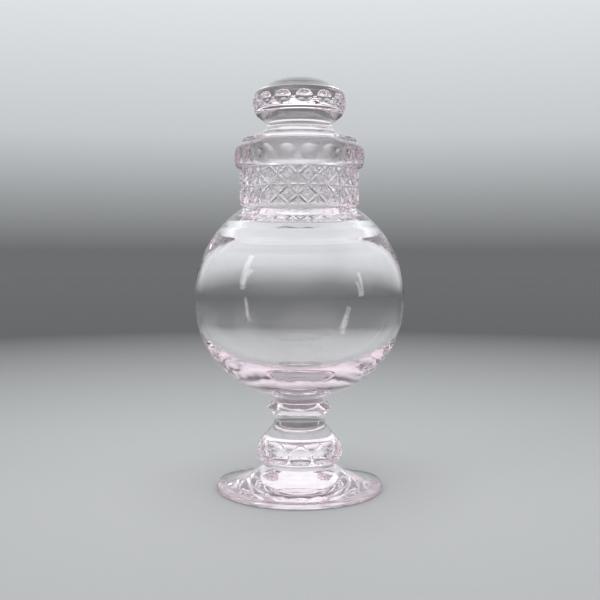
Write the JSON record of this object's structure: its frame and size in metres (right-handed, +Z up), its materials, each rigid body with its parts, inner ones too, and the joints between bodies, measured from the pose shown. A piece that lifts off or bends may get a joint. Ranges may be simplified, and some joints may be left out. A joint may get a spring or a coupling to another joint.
{
  "type": "apothecary jar",
  "caption": "Footed clear glass apothecary jar: a globe on a faceted stem and spread foot, a diamond-cut collar with a thumbprint rim, and a ground glass stopper that lifts off.",
  "frame": {"origin": "centre of the ring that the foot rests on", "axes": "+Z up along the jar's axis, towards the stopper; the front is -Y and +X is to the right of it"},
  "size_m": [0.134, 0.134, 0.262],
  "materials": {
    "jar_glass": "clear blown glass with a faint pink-lavender tint that deepens where it is thick, fire polished",
    "stem_glass": "clear pressed glass with a faint pink-lavender tint, fire polished facets and thumbprints",
    "foot_glass": "clear pressed glass with a pink-lavender tint at the rim, worn on its resting ring",
    "stopper_glass": "clear pressed glass with a faint pink-lavender tint, its plug ground to a frosted taper"
  },
  "bodies": {
    "jar": {"bowl": "jar_glass", "wafer": "jar_glass", "stem": "stem_glass", "foot": "foot_glass"},
    "stopper": {"stopper_cap": "stopper_glass", "stopper_knob": "stopper_glass"}
  },
  "joints": [
    {"name": "stopper_lift", "type": "slide", "parent": "jar", "child": "stopper", "axis": [0, 0, 1], "range_m": [0, 0.1]}
  ]
}
